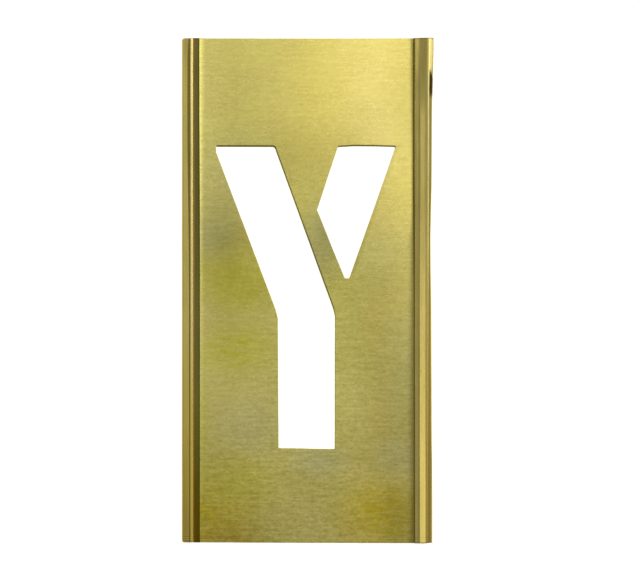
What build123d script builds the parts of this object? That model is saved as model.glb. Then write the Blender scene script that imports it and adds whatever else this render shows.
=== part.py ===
from build123d import *
import math
import os

# ---------------------------------------------------------------------------
# Interlocking sheet-brass lettering stencil, one capital letter Y.
# Millimetres. The plate lies on its back: the back face is z = 0, the front
# looks along +Z, the top of the letter points along +Y and the letter's left
# side along -X. The origin is the middle of the plate, on the back face.
#
# Three pieces that meet face to face on the two lines where the finish of the
# metal changes:
#   letter_plate     flat brushed panel with the two punched openings
#   left_lock_rail   hook folded forward, lip pointing right, open channel
#   right_lock_rail  steps up off the panel, folds back under, lip pointing left
# The right rail of one plate hooks into the left rail of the next, and the
# plates slide on each other along Y. Everything stands forward of the back
# plane, so a locked row of plates still lies flat on the work.
# ---------------------------------------------------------------------------

# overall
SHEET = 0.32            # sheet thickness
LAYER = 0.37            # height of one layer in the locked seam
HEIGHT = 127.2          # plate height, along Y
WIDTH = 63.4            # plate width over both rails, at the flared corner
HALF_H = HEIGHT / 2
X_LEFT = -WIDTH / 2     # outer bend of the left rail

# left lock rail
LEFT_RAIL_W = 4.4       # outer bend to the panel
LEFT_LIP_W = 2.8        # outer bend to the free edge of the lip

# right lock rail
RIGHT_RAIL_W = 4.65     # panel to the outer bend, along the straight length
FLARE = 0.45            # the top corner is opened outward this much
FLARE_LEN = 15.0        # over this length below the top edge
STEP_FOOT = 0.18        # where the wall of the step starts, on its centre line
STEP_ANGLE = 80.0       # wall of the step, degrees from the panel
STEP_BEND = 0.20        # centre-line radius of both step bends
RIGHT_LIP_EDGE = 1.20   # panel to the free edge of the folded lip

# panel
X_SEAM_LEFT = X_LEFT + LEFT_RAIL_W
X_SEAM_RIGHT = WIDTH / 2 - FLARE - RIGHT_RAIL_W
RIM = 0.20              # rolled front edge of the punched openings

# punched openings: x, y, corner radius
LEFT_ARM_AND_STEM = [
    (-23.13, 36.15, 0.20),
    (-23.08, 34.77, 0.60),
    (-8.12, -4.72, 2.50),
    (-7.54, -7.03, 2.50),
    (-7.44, -39.69, 0.40),
    (6.81, -39.87, 0.12),
    (6.81, -6.53, 2.50),
    (6.41, -4.59, 2.50),
    (-8.35, 36.15, 0.75),
]
RIGHT_ARM = [
    (7.52, 36.13, 0.45),
    (2.23, 20.34, 0.30),
    (9.20, 3.09, 0.35),
    (10.36, 3.09, 0.35),
    (21.92, 36.13, 0.25),
]


def rounded_loop(points, place):
    """Closed wire of straight runs and tangent arcs.

    points holds (u, v, radius) for each corner; place turns (u, v) into a
    point in space."""
    n = len(points)
    corners = []
    for i, (u, v, r) in enumerate(points):
        pu, pv, _ = points[i - 1]
        nu, nv, _ = points[(i + 1) % n]
        a = (pu - u, pv - v)
        b = (nu - u, nv - v)
        la, lb = math.hypot(*a), math.hypot(*b)
        a = (a[0] / la, a[1] / la)
        b = (b[0] / lb, b[1] / lb)
        if r <= 0:
            corners.append(((u, v), None, (u, v)))
            continue
        half = 0.5 * math.acos(max(-1.0, min(1.0, a[0] * b[0] + a[1] * b[1])))
        t = r / math.tan(half)
        bis = (a[0] + b[0], a[1] + b[1])
        lbis = math.hypot(*bis)
        bis = (bis[0] / lbis, bis[1] / lbis)
        d = r / math.sin(half)
        mid = (u + bis[0] * (d - r), v + bis[1] * (d - r))
        corners.append(((u + a[0] * t, v + a[1] * t), mid, (u + b[0] * t, v + b[1] * t)))
    edges = []
    for i, (start, mid, end) in enumerate(corners):
        before = corners[i - 1][2]
        if math.hypot(start[0] - before[0], start[1] - before[1]) > 1e-4:
            edges.append(Line(place(*before), place(*start)))
        if mid is not None:
            edges.append(ThreePointArc(place(*start), place(*mid), place(*end)))
    return Wire(edges)


# ---------------------------------------------------------------------------
# letter plate
# ---------------------------------------------------------------------------
def on_back(u, v):
    return (u, v, 0.0)


panel_outline = rounded_loop(
    [
        (X_SEAM_LEFT, -HALF_H, 0),
        (X_SEAM_RIGHT, -HALF_H, 0),
        (X_SEAM_RIGHT, HALF_H, 0),
        (X_SEAM_LEFT, HALF_H, 0),
    ],
    on_back,
)
letter_plate = extrude(Face(panel_outline), SHEET, dir=(0, 0, 1))

for opening in (LEFT_ARM_AND_STEM, RIGHT_ARM):
    cutter = extrude(Face(rounded_loop(opening, on_back)), 3 * SHEET, dir=(0, 0, 1))
    letter_plate -= Pos(0, 0, -SHEET) * cutter

# the punch rolls the front edge of each opening over
front = letter_plate.faces().sort_by(Axis.Z)[-1]
rim_edges = ShapeList([e for wire in front.inner_wires() for e in wire.edges()])
letter_plate = fillet(rim_edges, RIM)

# ---------------------------------------------------------------------------
# lock rails
#
# Each rail is one strip of sheet, folded. It is written as its flanges and
# folds, closed solids that meet face to face, so that the hook stays open.
# ---------------------------------------------------------------------------
LEFT_TOP = 2 * LAYER + SHEET
RIGHT_TOP = 3 * LAYER + SHEET
HOOK_OUT = LEFT_TOP / 2                 # outer radius of a folded bend
HOOK_IN = (2 * LAYER - SHEET) / 2       # inner radius of a folded bend


def run(section):
    """Closed solid of one section along the whole height."""
    wire = rounded_loop(section, lambda u, v: (u, -HALF_H, v))
    return extrude(Face(wire), HEIGHT, dir=(0, 1, 0))


def slab(x0, x1, z0, z1):
    return [(x0, z0, 0), (x1, z0, 0), (x1, z1, 0), (x0, z1, 0)]


# ---------------------------------------------------------------------------
# left lock rail: base, outer bend, lip over the front
# ---------------------------------------------------------------------------
x_bend = X_LEFT + HOOK_OUT
left_base = run(slab(x_bend, X_SEAM_LEFT, 0.0, SHEET))
left_bend = run(
    [
        (x_bend, 0.0, 0),
        (x_bend, SHEET, 0),
        (X_LEFT + SHEET, SHEET, HOOK_IN),
        (X_LEFT + SHEET, 2 * LAYER, HOOK_IN),
        (x_bend, 2 * LAYER, 0),
        (x_bend, LEFT_TOP, 0),
        (X_LEFT, LEFT_TOP, HOOK_OUT),
        (X_LEFT, 0.0, HOOK_OUT),
    ]
)
left_lip = run(
    [
        (x_bend, 2 * LAYER, 0),
        (X_LEFT + LEFT_LIP_W, 2 * LAYER, 0.06),
        (X_LEFT + LEFT_LIP_W, LEFT_TOP, 0.10),
        (x_bend, LEFT_TOP, 0),
    ]
)

# ---------------------------------------------------------------------------
# right lock rail: step up, cover, outer bend, lip folded back underneath
# ---------------------------------------------------------------------------
STEP_W = 0.60           # panel to where the flat cover begins
phi = math.radians(STEP_ANGLE)
bend_shift = 0.5 * SHEET * math.tan(phi / 2)
step_head = STEP_FOOT + 3 * LAYER / math.tan(phi)
tight = STEP_BEND - SHEET / 2
wide = STEP_BEND + SHEET / 2

right_step = run(
    [
        (X_SEAM_RIGHT, SHEET, 0),
        (X_SEAM_RIGHT + STEP_FOOT - bend_shift, SHEET, tight),
        (X_SEAM_RIGHT + step_head - bend_shift, RIGHT_TOP, wide),
        (X_SEAM_RIGHT + STEP_W, RIGHT_TOP, 0),
        (X_SEAM_RIGHT + STEP_W, 3 * LAYER, 0),
        (X_SEAM_RIGHT + step_head + bend_shift, 3 * LAYER, tight),
        (X_SEAM_RIGHT + STEP_FOOT + bend_shift, 0.0, wide),
        (X_SEAM_RIGHT, 0.0, 0),
    ]
)


def cover_section(reach):
    return slab(X_SEAM_RIGHT + STEP_W, X_SEAM_RIGHT + reach - HOOK_OUT, 3 * LAYER, RIGHT_TOP)


def bend_section(reach):
    edge = X_SEAM_RIGHT + reach
    return [
        (edge - HOOK_OUT, RIGHT_TOP, 0),
        (edge, RIGHT_TOP, HOOK_OUT),
        (edge, LAYER, HOOK_OUT),
        (edge - HOOK_OUT, LAYER, 0),
        (edge - HOOK_OUT, LAYER + SHEET, 0),
        (edge - SHEET, LAYER + SHEET, HOOK_IN),
        (edge - SHEET, 3 * LAYER, HOOK_IN),
        (edge - HOOK_OUT, 3 * LAYER, 0),
    ]


def lip_section(reach):
    free = X_SEAM_RIGHT + RIGHT_LIP_EDGE + (reach - RIGHT_RAIL_W)
    return [
        (free, LAYER, 0.06),
        (free, LAYER + SHEET, 0.06),
        (X_SEAM_RIGHT + reach - HOOK_OUT, LAYER + SHEET, 0),
        (X_SEAM_RIGHT + reach - HOOK_OUT, LAYER, 0),
    ]


Y_FLARE = HALF_H - FLARE_LEN


def run_with_flare(section):
    """Straight up to the flare, then opened outward to the top edge."""

    def wire(reach, y):
        return rounded_loop(section(reach), lambda u, v: (u, y, v))

    straight = extrude(Face(wire(RIGHT_RAIL_W, -HALF_H)), Y_FLARE + HALF_H, dir=(0, 1, 0))
    mouth = Solid.make_loft(
        [wire(RIGHT_RAIL_W, Y_FLARE), wire(RIGHT_RAIL_W + FLARE, HALF_H)], ruled=True
    )
    return straight + mouth


right_cover = run_with_flare(cover_section)
right_bend = run_with_flare(bend_section)
right_lip = run_with_flare(lip_section)

# ---------------------------------------------------------------------------
# write one file per piece
# ---------------------------------------------------------------------------
pieces = {
    "letter_plate": [letter_plate],
    "left_lock_rail": [left_base, left_bend, left_lip],
    "right_lock_rail": [right_step, right_cover, right_bend, right_lip],
}

os.makedirs("parts", exist_ok=True)
for name, shapes in pieces.items():
    solids = [s for shape in shapes for s in shape.solids()]
    whole = solids[0] if len(solids) == 1 else Compound(children=solids)
    whole.label = name
    export_step(whole, f"parts/{name}.step")
    box = whole.bounding_box()
    print(name, len(solids), round(sum(s.volume for s in solids), 3), box.min, box.max)
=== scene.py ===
import math

import bmesh
import bpy
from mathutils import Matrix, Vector, noise
from mathutils.geometry import delaunay_2d_cdt


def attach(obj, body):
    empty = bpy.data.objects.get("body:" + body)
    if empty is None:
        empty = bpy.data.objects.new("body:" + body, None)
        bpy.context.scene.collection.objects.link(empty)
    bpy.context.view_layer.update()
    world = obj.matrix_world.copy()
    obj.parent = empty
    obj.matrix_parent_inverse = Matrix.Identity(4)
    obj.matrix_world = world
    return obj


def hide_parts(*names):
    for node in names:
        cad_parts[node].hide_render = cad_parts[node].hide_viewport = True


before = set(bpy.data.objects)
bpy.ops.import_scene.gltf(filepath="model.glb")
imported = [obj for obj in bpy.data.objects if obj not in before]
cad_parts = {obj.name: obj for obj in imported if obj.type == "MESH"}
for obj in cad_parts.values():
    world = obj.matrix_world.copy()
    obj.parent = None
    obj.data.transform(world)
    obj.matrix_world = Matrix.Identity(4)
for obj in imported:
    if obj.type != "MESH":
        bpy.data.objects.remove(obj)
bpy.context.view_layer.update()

# ---------------------------------------------------------------------------
# Interlocking sheet-brass lettering stencil. Lengths in millimetres until the
# meshes are written, which is in metres. The plate lies on its back, front
# along +Z, top of the letter along +Y.
# ---------------------------------------------------------------------------
MM = 0.001
SHEET = 0.32
LAYER = 0.37
TOP = 63.6
X_LEFT = -31.7
X_RIGHT = 31.7
LEFT_TOP = 2 * LAYER + SHEET
RIGHT_TOP = 3 * LAYER + SHEET


# ---------------------------------------------------------------------------
# small tools
# ---------------------------------------------------------------------------
def smoothstep(a, b, x):
    t = max(0.0, min(1.0, (x - a) / (b - a)))
    return t * t * (3 - 2 * t)


def curve_through(knots):
    """Smooth function through a short list of (position, value) knots."""
    xs = [k[0] for k in knots]
    vs = [k[1] for k in knots]
    n = len(xs)
    slope = [(vs[i + 1] - vs[i]) / (xs[i + 1] - xs[i]) for i in range(n - 1)]
    m = [slope[0]]
    for i in range(1, n - 1):
        m.append(0.0 if slope[i - 1] * slope[i] <= 0 else 2 * slope[i - 1] * slope[i] / (slope[i - 1] + slope[i]))
    m.append(slope[-1])

    def at(x):
        if x <= xs[0]:
            return vs[0]
        if x >= xs[-1]:
            return vs[-1]
        i = max(j for j in range(n - 1) if xs[j] <= x)
        h = xs[i + 1] - xs[i]
        t = (x - xs[i]) / h
        return (
            vs[i] * (1 + 2 * t) * (1 - t) ** 2
            + m[i] * h * t * (1 - t) ** 2
            + vs[i + 1] * t * t * (3 - 2 * t)
            + m[i + 1] * h * t * t * (t - 1)
        )

    return at


def wob(x, y, size, seed):
    """Smooth noise, about -1 to 1, with features of the given size in mm."""
    return noise.noise(Vector((x / size + seed * 7.3, y / size - seed * 3.1, seed * 1.7)))


def fillet_points(points, closed, spacing, arc_step):
    """Points along straight runs joined by tangent arcs. points: (u, v, radius)."""
    n = len(points)
    corners = []
    for i, (u, v, r) in enumerate(points):
        if not closed and i in (0, n - 1) or r <= 0:
            corners.append(((u, v), None, (u, v), 0, 0))
            continue
        pu, pv = points[i - 1][:2]
        nu, nv = points[(i + 1) % n][:2]
        la, lb = math.hypot(pu - u, pv - v), math.hypot(nu - u, nv - v)
        a = ((pu - u) / la, (pv - v) / la)
        b = ((nu - u) / lb, (nv - v) / lb)
        ang = math.acos(max(-1.0, min(1.0, a[0] * b[0] + a[1] * b[1])))
        half = ang / 2
        t = r / math.tan(half)
        bis = (a[0] + b[0], a[1] + b[1])
        l = math.hypot(*bis)
        d = r / math.sin(half)
        centre = (u + bis[0] / l * d, v + bis[1] / l * d)
        corners.append(((u + a[0] * t, v + a[1] * t), centre, (u + b[0] * t, v + b[1] * t), r, math.pi - ang))
    out = []
    for i, (start, centre, end, r, turn) in enumerate(corners):
        if i or closed:
            before = corners[i - 1][2]
            run = math.hypot(start[0] - before[0], start[1] - before[1])
            k = max(1, round(run / spacing))
            for j in range(1, k):
                s = j / k
                out.append((before[0] + (start[0] - before[0]) * s, before[1] + (start[1] - before[1]) * s))
        out.append(start)
        if centre is not None:
            a0 = math.atan2(start[1] - centre[1], start[0] - centre[0])
            a1 = math.atan2(end[1] - centre[1], end[0] - centre[0])
            da = (a1 - a0 + math.pi) % (2 * math.pi) - math.pi
            k = max(3, math.ceil(abs(da) / arc_step))
            for j in range(1, k):
                a = a0 + da * j / k
                out.append((centre[0] + r * math.cos(a), centre[1] + r * math.sin(a)))
            out.append(end)
    clean = []
    for p in out:
        if not clean or math.hypot(p[0] - clean[-1][0], p[1] - clean[-1][1]) > 1e-4:
            clean.append(p)
    if closed and math.hypot(clean[0][0] - clean[-1][0], clean[0][1] - clean[-1][1]) < 1e-4:
        clean.pop()
    return clean


def area(loop):
    return 0.5 * sum(a[0] * b[1] - b[0] * a[1] for a, b in zip(loop, loop[1:] + loop[:1]))


def offset_loop(loop, d):
    """The loop moved by d towards the right of its direction of travel, with mitred corners."""
    out = []
    n = len(loop)
    for i in range(n):
        p, q, r = loop[i - 1], loop[i], loop[(i + 1) % n]
        e1 = (q[0] - p[0], q[1] - p[1])
        e2 = (r[0] - q[0], r[1] - q[1])
        l1, l2 = math.hypot(*e1), math.hypot(*e2)
        n1 = (e1[1] / l1, -e1[0] / l1)
        n2 = (e2[1] / l2, -e2[0] / l2)
        k = 1 + n1[0] * n2[0] + n1[1] * n2[1]
        k = max(k, 0.35)
        out.append((q[0] + (n1[0] + n2[0]) / k * d, q[1] + (n1[1] + n2[1]) / k * d))
    return out


def inside(loop, x, y):
    hit = False
    n = len(loop)
    for i in range(n):
        x0, y0 = loop[i]
        x1, y1 = loop[(i + 1) % n]
        if (y0 > y) != (y1 > y) and x < x0 + (x1 - x0) * (y - y0) / (y1 - y0):
            hit = not hit
    return hit


def near(loop, x, y, d):
    """True if the point is nearer than d to the loop."""
    n = len(loop)
    for i in range(n):
        x0, y0 = loop[i]
        if abs(x0 - x) > 2.5 + d or abs(y0 - y) > 2.5 + d:
            continue
        x1, y1 = loop[(i + 1) % n]
        ex, ey = x1 - x0, y1 - y0
        l2 = ex * ex + ey * ey
        t = max(0.0, min(1.0, ((x - x0) * ex + (y - y0) * ey) / l2)) if l2 else 0.0
        if math.hypot(x - x0 - ex * t, y - y0 - ey * t) < d:
            return True
    return False


def finish_mesh(name, verts, faces, sharp_deg, rim_shade=None):
    """Object from millimetre points: closed, outward normals, smooth but for its sharp edges.

    Its UV map has u along the plate's height, square to the brushing."""
    mesh = bpy.data.meshes.new(name)
    mesh.from_pydata([(x * MM, y * MM, z * MM) for x, y, z in verts], [], faces)
    # the point layer below weights the painted shade that the panel material puts into the rims of the openings
    if rim_shade is not None:
        layer = mesh.attributes.new("rim_shade", "FLOAT", "POINT")
        layer.data.foreach_set("value", rim_shade)
    bm = bmesh.new()
    bm.from_mesh(mesh)
    bmesh.ops.remove_doubles(bm, verts=bm.verts, dist=1e-8)
    bmesh.ops.recalc_face_normals(bm, faces=bm.faces)
    for f in bm.faces:
        f.smooth = True
    limit = math.radians(sharp_deg)
    for e in bm.edges:
        e.smooth = len(e.link_faces) == 2 and e.calc_face_angle(0.0) < limit
    uv = bm.loops.layers.uv.new("brushing")
    for f in bm.faces:
        for l in f.loops:
            l[uv].uv = (l.vert.co.y / 0.2 + 0.5, 0.5 - l.vert.co.x / 0.2)
    bm.to_mesh(mesh)
    bm.free()
    mesh.update()
    obj = bpy.data.objects.new(name, mesh)
    bpy.context.scene.collection.objects.link(obj)
    return obj


# ---------------------------------------------------------------------------
# letter plate
# ---------------------------------------------------------------------------
# x of the left seam, by y
seam_left = curve_through(
    [(-TOP, -27.15), (2.7, -27.14), (12.7, -27.15), (22.8, -27.17), (32.9, -27.21), (43.0, -27.27), (TOP, -27.285)]
)
SEAM_RIGHT = 26.50
top_edge = curve_through([(-27.6, 63.57), (-25.5, 63.50), (0, 63.46), (26.6, 63.51)])
bottom_edge = curve_through(
    [(-27.6, -63.42), (-21.4, -63.43), (-9.3, -63.50), (4.0, -63.54), (16.0, -63.57), (26.6, -63.59)]
)

LEFT_ARM_AND_STEM = [
    (-23.13, 36.17, 0.22),
    (-23.08, 34.90, 0.70),
    (-8.12, -4.72, 2.80),
    (-7.54, -7.03, 2.80),
    (-7.36, -39.63, 0.42),
    (2.80, -39.81, 6.00),
    (5.20, -39.88, 6.00),
    (6.73, -39.83, 0.12),
    (6.80, -6.53, 2.80),
    (6.36, -4.59, 2.80),
    (-8.43, 36.15, 0.78),
]
RIGHT_ARM = [
    (7.52, 36.10, 0.50),
    (4.62, 27.30, 20.0),
    (2.34, 20.36, 0.32),
    (6.01, 11.14, 20.0),
    (9.33, 3.11, 0.38),
    (10.42, 3.09, 0.38),
    (16.43, 20.06, 30.0),
    (22.05, 36.14, 0.28),
    (17.00, 36.27, 12.0),
    (11.50, 36.33, 12.0),
]


# the panel rises where it folds down into the channel of the left rail, and at the foot of the step on the right
crest_height = curve_through([(-TOP, 0.014), (-27.0, 0.024), (2.7, 0.044), (22.8, 0.052), (43.0, 0.051), (TOP, 0.060)])
crest_width = curve_through([(-TOP, 1.0), (22.8, 1.05), (61.8, 1.5)])
rise_width = curve_through([(-TOP, 2.1), (-20.0, 1.9), (0.0, 1.5), (12.0, 1.45), (20.0, 0.80), (35.0, 0.80), (45.0, 1.0), (60.0, 1.25)])


def plate_lift(x, y):
    """Height of the hand-flattened sheet above the work: slow waves and the rise towards both rails."""
    h = 0.035 + 0.020 * wob(x, y, 46.0, 1) + 0.008 * wob(x, y, 19.0, 2) + 0.0022 * wob(x, y, 7.5, 3)
    h += crest_height(y) * max(0.0, 1 - (x - seam_left(y)) / crest_width(y)) ** 2
    wide = rise_width(y)
    h += 0.052 * wide * max(0.0, 1 - (SEAM_RIGHT - x) / wide) ** 3
    return max(0.0, h)


RIM_STEPS = [1.0, 0.82, 0.66, 0.52, 0.39, 0.28, 0.18, 0.10, 0.04, 0.0]   # distance from the wall, in rim widths
EDGE_R = 0.03


def offset_by(loop, dist):
    """The loop with every point moved by its own distance towards the metal."""
    unit = offset_loop(loop, -1.0)
    return [(x + (u - x) * d, y + (v - y) * d) for (x, y), (u, v), d in zip(loop, unit, dist)]


def rim_pull(loop):
    """How far the punch dragged the sheet down, 0 to 1: most along the top, hardly at all to the left and below."""
    unit = offset_loop(loop, -1.0)
    pull = []
    for (x, y), (u, v) in zip(loop, unit):
        l = math.hypot(u - x, v - y)
        pull.append(smoothstep(0.0, 1.0, (0.35 * (u - x) + 0.94 * (v - y)) / l))
    n = len(pull)
    return [(pull[i - 2] + 2 * pull[i - 1] + 3 * pull[i] + 2 * pull[(i + 1) % n] + pull[(i + 2) % n]) / 9 for i in range(n)]


EDGE_STEPS = [0.0, 0.35, 0.7, 1.0]


def make_plate():
    loops = []
    for k, pts in enumerate((LEFT_ARM_AND_STEM, RIGHT_ARM)):
        loop = fillet_points(pts, True, 0.42, math.radians(11))
        if area(loop) > 0:
            loop.reverse()          # clockwise, so that the metal is on the left of travel
        # hand-guided punch: a hair of unevenness along the cut
        loop = [(x + 0.018 * wob(x, y, 3.1, 11 + k), y + 0.018 * wob(y, x, 2.7, 17 + k)) for x, y in loop]
        loops.append(loop)
    outline = []
    rows = 160
    for i in range(rows):
        y = bottom_edge(-27.3) + (top_edge(-27.5) - bottom_edge(-27.3)) * i / rows
        outline.append((seam_left(y), y))
    cols = 66
    for i in range(cols):
        x = -27.35 + (SEAM_RIGHT + 27.35) * i / cols
        outline.append((x, top_edge(x) + 0.012 * wob(x, 0, 1.9, 5)))
    for i in range(rows):
        y = top_edge(SEAM_RIGHT) + (bottom_edge(SEAM_RIGHT) - top_edge(SEAM_RIGHT)) * i / rows
        outline.append((SEAM_RIGHT, y))
    for i in range(cols):
        x = SEAM_RIGHT + (-27.18 - SEAM_RIGHT) * i / cols
        outline.append((x, bottom_edge(x) + 0.014 * wob(x, 9, 1.7, 6)))
    # outline runs clockwise: the metal is on the right of travel
    inner = offset_loop(outline, EDGE_R)
    pulls = [rim_pull(l) for l in loops]
    widths = [[0.07 + w * p for p in pull] for pull, w in zip(pulls, (0.43, 0.36))]
    rim_out = [offset_by(l, w) for l, w in zip(loops, widths)]
    guards = [offset_loop(outline, EDGE_R + 0.03)] + [offset_by(l, [d + 0.05 for d in w]) for l, w in zip(loops, widths)]

    pts = list(inner)
    edges = [(i, (i + 1) % len(inner)) for i in range(len(inner))]
    for l in rim_out + guards:
        s = len(pts)
        pts += l
        edges += [(s + i, s + (i + 1) % len(l)) for i in range(len(l))]
    xs = [0.10, 0.20, 0.32, 0.46, 0.62, 0.80, 1.00, 1.24, 1.55, 1.95, 2.45]
    across = [("l", d) for d in xs]
    x = -24.4
    while x < SEAM_RIGHT - 2.9:
        across.append(("x", x))
        x += 0.85
    across += [("r", d) for d in reversed(xs)]
    y0, y1 = bottom_edge(-27.3), top_edge(-27.5)
    y2, y3 = bottom_edge(SEAM_RIGHT), top_edge(SEAM_RIGHT)
    for j in range(1, rows):
        yl, yr = y0 + (y1 - y0) * j / rows, y2 + (y3 - y2) * j / rows
        for kind, d in across:
            gx = seam_left(yl) + EDGE_R + d if kind == "l" else SEAM_RIGHT - EDGE_R - d if kind == "r" else d
            y = yl + (yr - yl) * (gx + 27.3) / (SEAM_RIGHT + 27.3)
            if not (bottom_edge(gx) + 0.3 < y < top_edge(gx) - 0.3):
                continue
            if any(inside(l, gx, y) or near(l, gx, y, 0.30) for l in rim_out):
                continue
            pts.append((gx, y))
    v2, _, tris, *_ = delaunay_2d_cdt([Vector(p) for p in pts], edges, [], 0, 1e-6)
    keep = []
    for t in tris:
        cx = sum(v2[i].x for i in t) / 3
        cy = sum(v2[i].y for i in t) / 3
        if inside(inner, cx, cy) and not any(inside(l, cx, cy) for l in rim_out):
            keep.append(list(t))

    verts, faces, rim_shade = [], [], []

    def add(x, y, z, r):
        verts.append((x, y, z))
        rim_shade.append(r)
        return len(verts) - 1

    front = [add(p.x, p.y, SHEET + plate_lift(p.x, p.y), 0.0) for p in v2]
    back = [add(p.x, p.y, plate_lift(p.x, p.y), 0.0) for p in v2]
    faces += [[front[i] for i in t] for t in keep]
    faces += [[back[i] for i in reversed(t)] for t in keep]

    def ring(loop, z_of, r):
        return [add(x, y, z_of(x, y), r) for x, y in loop]

    def strip(a, b):
        n = len(a)
        for i in range(n):
            faces.append([a[i], a[(i + 1) % n], b[(i + 1) % n], b[i]])

    # rolled rims of the openings
    for l, pull, wide in zip(loops, pulls, widths):
        last = None
        for s in RIM_STEPS:
            u = 1 - s
            drop = 1 - math.sqrt(max(0.0, 1 - u * u))
            at = offset_by(l, [w * s for w in wide])
            # the last value given to add() weights the painted rim shade: strongest where the rim is pulled down along
            # the tops of the openings, facing away from the light
            now = [
                add(x, y, SHEET + plate_lift(x, y) - drop * (0.06 + 0.19 * p), p * p * min(1.0, u / 0.25))
                for (x, y), p in zip(at, pull)
            ]
            if last:
                strip(last, now)
            last = now
        # the cut face takes the painted rim shade at half strength
        foot = ring(l, lambda x, y: plate_lift(x, y) + 0.012, 0.5)
        strip(last, foot)
        burr = ring(offset_loop(l, -0.03), lambda x, y: max(0.0, plate_lift(x, y) - 0.006), 0.5)
        strip(foot, burr)
        under = ring(offset_by(l, wide), lambda x, y: plate_lift(x, y), 0.0)
        strip(burr, under)
    # sheared and eased outside edge
    last = None
    for s in reversed(EDGE_STEPS):
        d = EDGE_R * s
        u = 1 - s
        drop = EDGE_R * (1 - math.sqrt(max(0.0, 1 - u * u)))
        # only the cut ends are eased: along the seams the sheet runs on
        now = ring(
            offset_loop(outline, d) if d else outline,
            lambda x, y, q=drop: SHEET + plate_lift(x, y) - q * smoothstep(0.3, 0.05, min(top_edge(x) - y, y - bottom_edge(x))),
            0.0,
        )
        if last:
            strip(last, now)
        last = now
    foot = ring(outline, lambda x, y: plate_lift(x, y) + 0.02, 0.0)
    strip(last, foot)
    under = ring(inner, lambda x, y: plate_lift(x, y), 0.0)
    strip(foot, under)
    return finish_mesh("letter_plate_sheet", verts, faces, 38, rim_shade)


# ---------------------------------------------------------------------------
# lock rails: one folded sheet section, swept along the plate
# ---------------------------------------------------------------------------
def bend_path(points, arc_n, run_n):
    """Centre line of a folded sheet: always the same number of samples, so that sections can be joined."""
    n = len(points)
    corners = []
    for i, (u, v, r) in enumerate(points):
        if i in (0, n - 1):
            corners.append(((u, v), None, (u, v), 0))
            continue
        pu, pv = points[i - 1][:2]
        nu, nv = points[i + 1][:2]
        la, lb = math.hypot(pu - u, pv - v), math.hypot(nu - u, nv - v)
        a = ((pu - u) / la, (pv - v) / la)
        b = ((nu - u) / lb, (nv - v) / lb)
        dot = max(-1.0, min(1.0, a[0] * b[0] + a[1] * b[1]))
        half = math.acos(dot) / 2
        t = min(r / math.tan(half), 0.495 * la, 0.495 * lb) if half < math.pi / 2 - 1e-4 else 0.0
        r2 = t * math.tan(half)
        bis = (a[0] + b[0], a[1] + b[1])
        l = math.hypot(*bis)
        if l < 1e-6 or t < 1e-6:
            corners.append(((u, v), None, (u, v), 0))
            continue
        d = r2 / math.sin(half)
        corners.append(((u + a[0] * t, v + a[1] * t), (u + bis[0] / l * d, v + bis[1] / l * d), (u + b[0] * t, v + b[1] * t), r2))
    out = [corners[0][0]]
    for i in range(1, n):
        start, centre, end, r = corners[i]
        before = corners[i - 1][2]
        for j in range(1, run_n + 1):
            s = j / run_n
            out.append((before[0] + (start[0] - before[0]) * s, before[1] + (start[1] - before[1]) * s))
        if i == n - 1:
            break
        for j in range(1, arc_n + 1):
            if centre is None:
                out.append(start)
                continue
            a0 = math.atan2(start[1] - centre[1], start[0] - centre[0])
            a1 = math.atan2(end[1] - centre[1], end[0] - centre[0])
            da = (a1 - a0 + math.pi) % (2 * math.pi) - math.pi
            a = a0 + da * j / arc_n
            out.append((centre[0] + r * math.cos(a), centre[1] + r * math.sin(a)))
    return out


def sheet_loop(path, thick):
    """Closed outline of a sheet around its centre line, square at its first end and rounded at its last."""
    n = len(path)
    left, right = [], []
    for i, (x, z) in enumerate(path):
        j = i - 1
        while j > 0 and math.hypot(path[j][0] - x, path[j][1] - z) < 1e-6:
            j -= 1
        k = i + 1
        while k < n - 1 and math.hypot(path[k][0] - x, path[k][1] - z) < 1e-6:
            k += 1
        p = path[max(0, j)]
        q = path[min(n - 1, k)]
        tx, tz = q[0] - p[0], q[1] - p[1]
        l = math.hypot(tx, tz)
        nx, nz = -tz / l, tx / l
        left.append((x + nx * thick / 2, z + nz * thick / 2))
        right.append((x - nx * thick / 2, z - nz * thick / 2))
    x, z = path[-1]
    p = path[-2]
    tx, tz = x - p[0], z - p[1]
    l = math.hypot(tx, tz)
    tx, tz = tx / l, tz / l
    nose = []
    for a in (60, 35, 12, -12, -35, -60):
        c, s = math.cos(math.radians(a)), math.sin(math.radians(a))
        nose.append((x + tx * 0.085 * c - tz * thick / 2 * s * 0.98, z + tz * 0.085 * c + tx * thick / 2 * s * 0.98))
    return left + nose + right[::-1]


def ends_dense(lo, hi, pitch):
    """Stations along the rail, close together at both cut ends."""
    near_end = [0.0, 0.03, 0.08, 0.16, 0.28, 0.45, 0.7, 1.0]
    n = round((hi - lo - 2.6) / pitch)
    mid = [lo + 1.3 + (hi - lo - 2.6) * i / n for i in range(n + 1)]
    return [lo + s for s in near_end] + mid + [hi - s for s in reversed(near_end)]


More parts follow.
